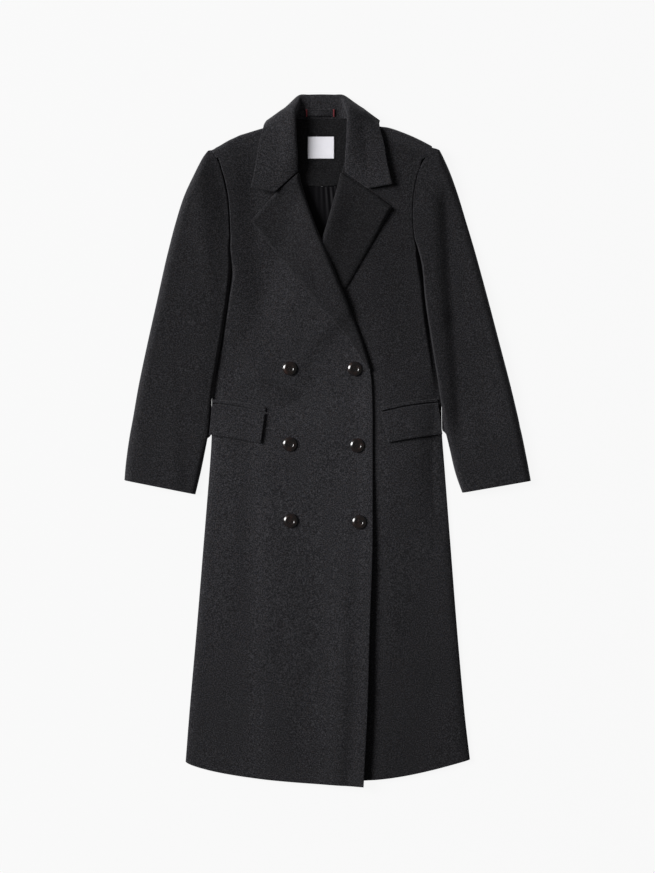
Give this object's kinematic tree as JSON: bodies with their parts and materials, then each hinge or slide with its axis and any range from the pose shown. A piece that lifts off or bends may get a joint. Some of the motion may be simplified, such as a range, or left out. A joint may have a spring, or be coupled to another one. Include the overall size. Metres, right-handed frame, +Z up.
{
  "type": "chesterfield coat laid flat",
  "caption": "Long double-breasted wool overcoat laid flat, with notched lapels, flap pockets, plain open cuffs and horn-like buttons.",
  "frame": {"origin": "middle of the coat's outline, on the surface that it lies on", "axes": "+X across the coat towards its left sleeve, +Y from hem to collar, +Z up from the surface through the back to the fronts"},
  "size_m": [0.7455, 1.2682, 0.0362],
  "materials": {
    "coat_cloth": "milled charcoal melange wool with a fine nap",
    "lining_satin": "dark satin lining with a soft sheen",
    "label_weave": "bare near-white woven patch",
    "button_horn": "polished dark brown horn-like resin"
  },
  "bodies": {
    "root": {"back_left": "coat_cloth", "back_left_shoulder": "coat_cloth", "back_right": "coat_cloth", "back_right_shoulder": "coat_cloth", "front_under_skirt": "coat_cloth", "front_under_waist": "coat_cloth", "front_under_chest": "coat_cloth", "front_over_skirt": "coat_cloth", "front_over_waist": "coat_cloth", "front_over_chest": "coat_cloth", "lapel_under": "coat_cloth", "lapel_over": "coat_cloth", "top_sleeve_left_head": "coat_cloth", "top_sleeve_left_elbow": "coat_cloth", "top_sleeve_left_cuff": "coat_cloth", "under_sleeve_left": "coat_cloth", "top_sleeve_right_head": "coat_cloth", "top_sleeve_right_elbow": "coat_cloth", "top_sleeve_right_cuff": "coat_cloth", "under_sleeve_right": "coat_cloth", "collar": "coat_cloth", "neck_facing": "coat_cloth", "lining": "lining_satin", "hanger_loop": "coat_cloth", "label": "label_weave", "flap_left": "coat_cloth", "welt_left": "coat_cloth", "flap_right": "coat_cloth", "welt_right": "coat_cloth", "button_left_1": "button_horn", "button_left_2": "button_horn", "button_left_3": "button_horn", "button_right_1": "button_horn", "button_right_2": "button_horn", "button_right_3": "button_horn"}
  },
  "joints": []
}
